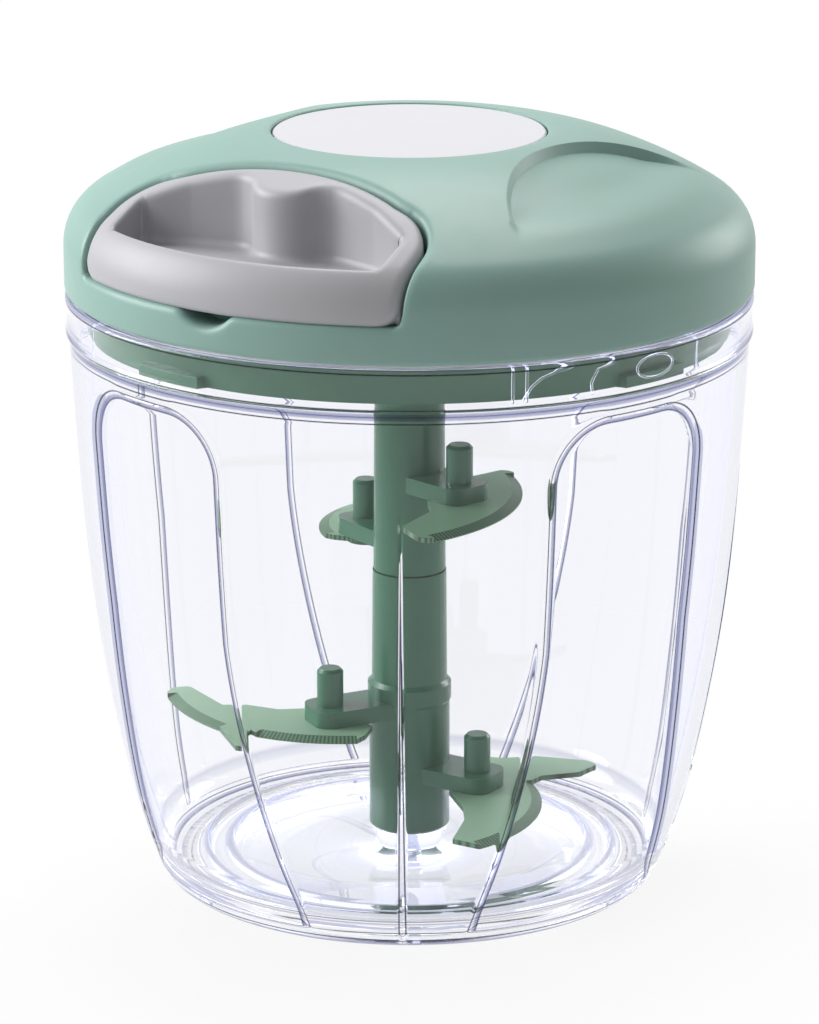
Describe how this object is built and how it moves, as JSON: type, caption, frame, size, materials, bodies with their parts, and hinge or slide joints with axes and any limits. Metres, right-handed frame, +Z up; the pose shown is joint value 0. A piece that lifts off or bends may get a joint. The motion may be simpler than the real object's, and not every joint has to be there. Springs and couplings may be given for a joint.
{
  "type": "pull-string food chopper",
  "caption": "Pull-string food chopper with a domed lid, a docked pull handle, a clear fluted bowl and curved blades on a central shaft.",
  "frame": {"origin": "middle of the bowl's underside, on the surface it stands on, on the axis of the blade shaft", "axes": "+Z up along the shaft; -Y out of the lid's front, where the pull handle docks; +X to the right"},
  "size_m": [0.13, 0.13, 0.1452],
  "materials": {
    "clear_bowl": "clear, glossy",
    "lid_green": "fine satin grain",
    "disc_silver": "silver-white satin",
    "handle_grey": "satin",
    "base_green": "gloss",
    "blade_green": "gloss",
    "blade_edge_green": "satin with ground edges",
    "seal_silicone": "soft translucent silicone",
    "reel_plastic": "natural nylon",
    "bush_plastic": "acetal",
    "steel": "turned",
    "spring_steel": "blued strip",
    "cord": "braided nylon"
  },
  "bodies": {
    "bowl": {"bowl": "clear_bowl", "pivot_pin": "steel"},
    "seal": {"seal_ring": "seal_silicone"},
    "lid": {"lid_cover": "lid_green", "lid_top_disc": "disc_silver", "lid_base": "base_green", "lid_screws": "steel", "reel_axle": "steel", "axle_washer": "steel", "axle_screw": "steel", "spring_arbor": "bush_plastic", "spindle_bush": "bush_plastic", "cord_eyelet": "bush_plastic", "pull_cord": "cord"},
    "handle": {"pull_handle": "handle_grey", "cord_knot": "cord"},
    "spool": {"reel": "reel_plastic", "reel_cover": "reel_plastic", "cord_winding": "cord", "mainspring": "spring_steel", "drive_spindle": "bush_plastic"},
    "blade": {"blade_shaft": "blade_green", "shaft_bush": "bush_plastic", "upper_blade_sleeve": "blade_green", "blade_studs": "blade_green", "blade_upper_right": "blade_edge_green", "blade_upper_left": "blade_edge_green", "blade_lower_left": "blade_edge_green", "blade_lower_right": "blade_edge_green"}
  },
  "joints": [
    {"name": "lid_lift", "type": "slide", "parent": "bowl", "child": "seal", "axis": [0, 0, 1], "range_m": [0, 0.08]},
    {"name": "lid_twist", "type": "hinge", "parent": "seal", "child": "lid", "pos_m": [0, 0, 0.12], "axis": [0, 0, 1], "range_deg": [0, 20]},
    {"name": "handle_pull", "type": "slide", "parent": "lid", "child": "handle", "axis": [0, -1, 0], "range_m": [0, 0.36], "stiffness_N_per_m": 12, "springref_m": -0.15, "deforming": ["pull_cord"]},
    {"name": "spool_spin", "type": "hinge", "parent": "lid", "child": "spool", "pos_m": [0, 0, 0.12], "axis": [0, 0, 1], "range_deg": [0, 930], "deforming": ["mainspring"]},
    {"name": "blade_spin", "type": "hinge", "parent": "bowl", "child": "blade", "pos_m": [0, 0, 0.05], "axis": [0, 0, 1], "range_deg": [0, 930]}
  ],
  "couplings": [
    {"joint": "spool_spin", "follows": "handle_pull", "rad_per_m": 44.8},
    {"joint": "blade_spin", "follows": "handle_pull", "rad_per_m": 44.8}
  ]
}
